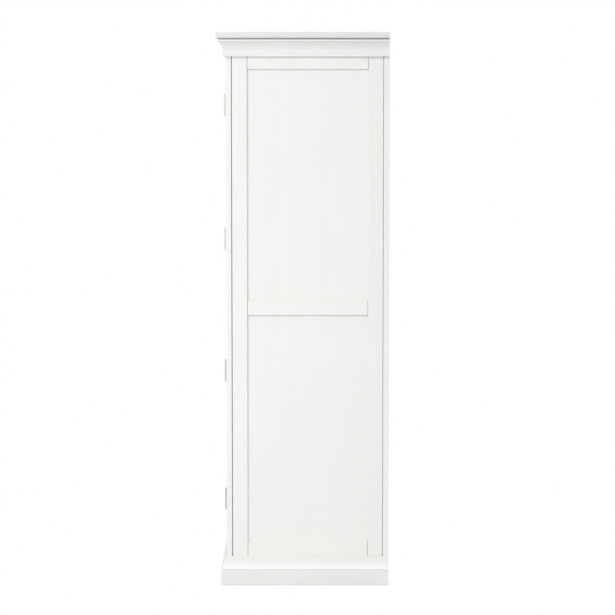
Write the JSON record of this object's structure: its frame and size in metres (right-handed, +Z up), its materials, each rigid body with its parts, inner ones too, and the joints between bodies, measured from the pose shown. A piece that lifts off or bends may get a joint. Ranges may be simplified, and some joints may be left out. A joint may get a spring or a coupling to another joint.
{
  "type": "pantry cabinet",
  "caption": "Tall free-standing white pantry cabinet with panelled double doors, adjustable shelves, a moulded cornice and a stepped plinth.",
  "frame": {"origin": "on the floor, under the middle of the cabinet's overall footprint", "axes": "+Z up, -Y out of the doors, +X to the right of someone facing the doors"},
  "size_m": [1, 0.591, 1.9],
  "materials": {
    "painted_wood": "satin white paint on solid wood",
    "painted_panel": "satin white paint on plywood panel",
    "painted_board": "satin white paint on board",
    "bare_pine": "planed, unfinished",
    "hinge_nickel": "satin nickel plate",
    "pull_nickel": "satin nickel plate",
    "bright_steel": "bright zinc plate",
    "catch_plastic": "moulded",
    "magnet": "sintered"
  },
  "bodies": {
    "carcase": {"back_muntins": "painted_wood", "back_panels": "painted_panel", "back_rails": "painted_wood", "back_stiles": "painted_wood", "base_moulding_front": "painted_wood", "base_moulding_left": "painted_wood", "base_moulding_right": "painted_wood", "catch_cases": "catch_plastic", "catch_magnets": "magnet", "catch_screws": "bright_steel", "ceiling_board": "painted_board", "corner_blocks": "bare_pine", "crown_front": "painted_wood", "crown_left": "painted_wood", "crown_right": "painted_wood", "face_frame_bottom_rail": "painted_wood", "face_frame_left_stile": "painted_wood", "face_frame_right_stile": "painted_wood", "face_frame_top_rail": "painted_wood", "fixed_shelf": "painted_board", "floor_board": "painted_board", "hinge_frame_leaves": "hinge_nickel", "hinge_frame_screws": "bright_steel", "hinge_pins": "hinge_nickel", "left_side_front_stile": "painted_wood", "left_side_panels": "painted_panel", "left_side_rails": "painted_wood", "left_side_rear_stile": "painted_wood", "loose_shelf_1": "painted_board", "loose_shelf_2": "painted_board", "loose_shelf_3": "painted_board", "loose_shelf_4": "painted_board", "right_side_front_stile": "painted_wood", "right_side_panels": "painted_panel", "right_side_rails": "painted_wood", "right_side_rear_stile": "painted_wood", "shelf_cleats": "bare_pine", "shelf_pegs": "bright_steel", "skirting_front": "painted_wood", "skirting_left": "painted_wood", "skirting_right": "painted_wood", "top_board": "painted_wood"},
    "right_door": {"right_door_hinge_leaves": "hinge_nickel", "right_door_hinge_screws": "bright_steel", "right_door_hinge_stile": "painted_wood", "right_door_meeting_stile": "painted_wood", "right_door_panels": "painted_panel", "right_door_rails": "painted_wood", "right_door_strikes": "bright_steel", "right_pull_rosette": "pull_nickel"},
    "left_door": {"left_door_hinge_leaves": "hinge_nickel", "left_door_hinge_screws": "bright_steel", "left_door_hinge_stile": "painted_wood", "left_door_meeting_stile": "painted_wood", "left_door_panels": "painted_panel", "left_door_rails": "painted_wood", "left_door_strikes": "bright_steel", "left_pull_rosette": "pull_nickel"},
    "right_pull": {"right_pull_ring": "pull_nickel"},
    "left_pull": {"left_pull_ring": "pull_nickel"}
  },
  "joints": [
    {"name": "right_door_hinge", "type": "hinge", "parent": "carcase", "child": "right_door", "pos_m": [0.421, -0.2658, 0.972], "axis": [0, 0, 1], "range_deg": [0, 175]},
    {"name": "left_door_hinge", "type": "hinge", "parent": "carcase", "child": "left_door", "pos_m": [-0.421, -0.2658, 0.972], "axis": [0, 0, -1], "range_deg": [0, 175]},
    {"name": "right_ring_swing", "type": "hinge", "parent": "right_door", "child": "right_pull", "pos_m": [0.0315, -0.2709, 0.96], "axis": [-1, 0, 0], "range_deg": [-8, 180]},
    {"name": "left_ring_swing", "type": "hinge", "parent": "left_door", "child": "left_pull", "pos_m": [-0.0315, -0.2709, 0.96], "axis": [-1, 0, 0], "range_deg": [-8, 180]}
  ]
}
